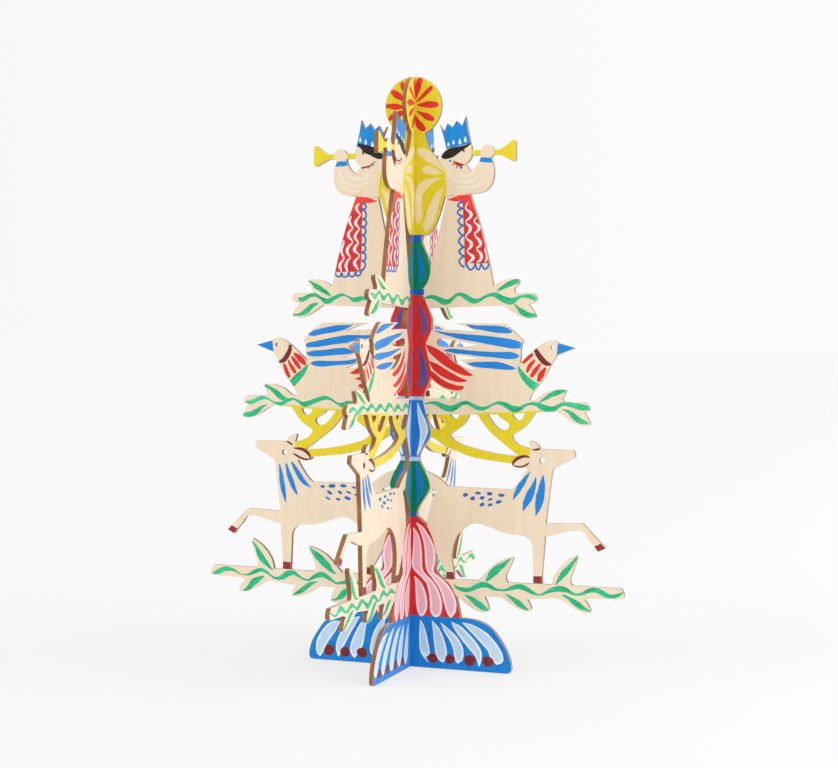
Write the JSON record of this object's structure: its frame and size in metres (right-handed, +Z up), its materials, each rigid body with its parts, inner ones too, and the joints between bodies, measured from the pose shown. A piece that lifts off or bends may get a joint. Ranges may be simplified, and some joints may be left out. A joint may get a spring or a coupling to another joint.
{
  "type": "flat-pack tree of life ornament",
  "caption": "Freestanding painted plywood tree of life made of slotted panels crossed at right angles, with trumpeters, birds and deer on leafy branches.",
  "frame": {"origin": "on the table under the middle of the tree, where the panels cross", "axes": "+Z up; the top-slotted panel lies along X and the bottom-slotted panel along Y"},
  "size_m": [0.2972, 0.2972, 0.4],
  "materials": {
    "top_slotted_plywood": "sanded, unsealed plywood face with laser-browned edges",
    "bottom_slotted_plywood": "sanded, unsealed plywood face with laser-browned edges",
    "red_paint": "matte brushed red paint",
    "blue_paint": "matte brushed bright blue paint",
    "dark_blue_paint": "matte brushed dark blue paint",
    "violet_paint": "matte brushed violet paint, thin over red",
    "pale_blue_paint": "matte pale blue paint, thin over blue",
    "leaf_green_paint": "matte brushed green paint of the vines",
    "vase_green_paint": "matte brushed dark green paint of the vases",
    "yellow_paint": "matte brushed yellow paint",
    "pink_paint": "matte pink paint, thin over red",
    "white_paint": "matte white paint",
    "maroon_paint": "matte maroon paint",
    "black_paint": "matte black paint"
  },
  "bodies": {
    "top_slotted_panel": {"top_slotted_panel": "top_slotted_plywood"},
    "bottom_slotted_panel": {"bottom_slotted_panel": "bottom_slotted_plywood"}
  },
  "joints": [
    {"name": "lift_off", "type": "slide", "parent": "top_slotted_panel", "child": "bottom_slotted_panel", "axis": [0, 0, 1], "range_m": [0, 0.2]}
  ]
}
